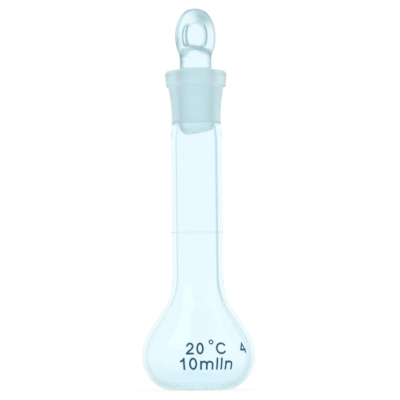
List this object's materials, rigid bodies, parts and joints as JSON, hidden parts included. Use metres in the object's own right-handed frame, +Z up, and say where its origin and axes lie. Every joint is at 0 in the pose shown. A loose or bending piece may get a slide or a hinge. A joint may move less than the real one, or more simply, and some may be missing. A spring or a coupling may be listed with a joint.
{
  "type": "volumetric flask",
  "caption": "Small glass volumetric flask with a long neck, pear-shaped bulb, flat foot, ground socket and solid ground-glass stopper with an oval grip.",
  "frame": {"origin": "middle of the base, on the surface that the flask stands on", "axes": "+Z up along the neck; the enamel marks face -Y, and the stopper's slanted end is lowest on the -X side"},
  "size_m": [0.0284, 0.0284, 0.0959],
  "materials": {
    "clear_glass": "polished",
    "enamel": "satin"
  },
  "bodies": {
    "flask": {"flask": "clear_glass"},
    "stopper": {"stopper": "clear_glass"}
  },
  "joints": [
    {"name": "stopper_lift", "type": "slide", "parent": "flask", "child": "stopper", "axis": [0, 0, 1], "range_m": [0, 0.03]}
  ]
}
